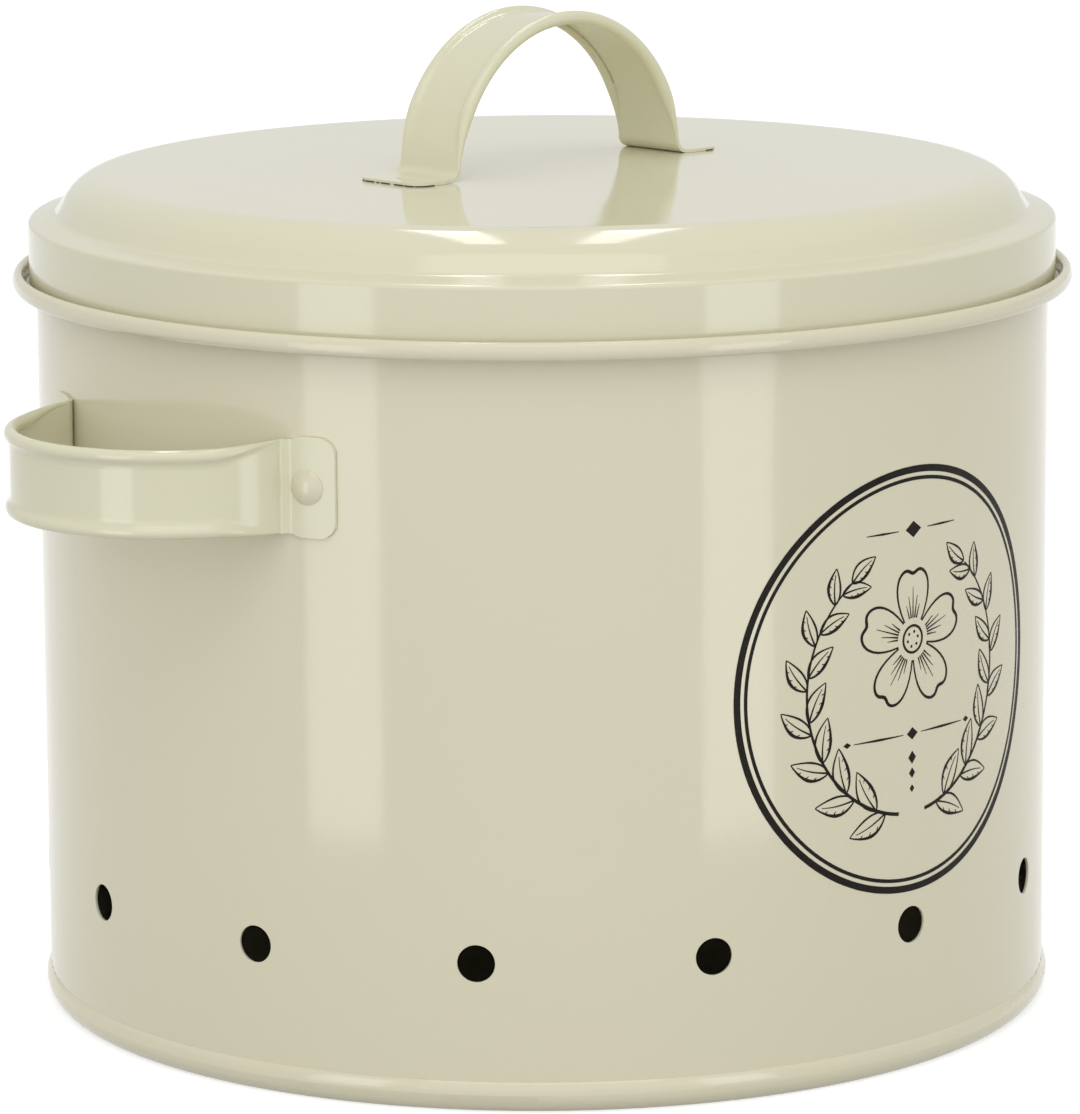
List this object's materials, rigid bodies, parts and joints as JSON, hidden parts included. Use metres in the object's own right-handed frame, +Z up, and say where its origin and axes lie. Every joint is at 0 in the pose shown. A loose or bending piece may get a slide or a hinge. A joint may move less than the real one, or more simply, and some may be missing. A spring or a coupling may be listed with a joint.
{
  "type": "vegetable storage bin",
  "caption": "Round painted steel storage bin with a lift-off stepped lid, strap handles on the lid and both sides, and a ring of vent holes near the base.",
  "frame": {"origin": "on the bin's axis, at the floor: the centre of the bottom of the bounding box", "axes": "+Z up along the bin's axis; -Y is the front, where the printed badge is; the side handles are at -X and +X, and the lid handle's arch spans X"},
  "size_m": [0.359, 0.293, 0.2744],
  "materials": {
    "cream_paint": "gloss"
  },
  "bodies": {
    "bin": {"body_wall": "cream_paint", "base_plate": "cream_paint", "left_handle": "cream_paint", "right_handle": "cream_paint", "left_front_rivet": "cream_paint", "left_back_rivet": "cream_paint", "right_front_rivet": "cream_paint", "right_back_rivet": "cream_paint"},
    "lid": {"lid_pan": "cream_paint", "lid_handle": "cream_paint"}
  },
  "joints": [
    {"name": "lid_lift", "type": "slide", "parent": "bin", "child": "lid", "axis": [0, 0, 1], "range_m": [0, 0.15]}
  ]
}
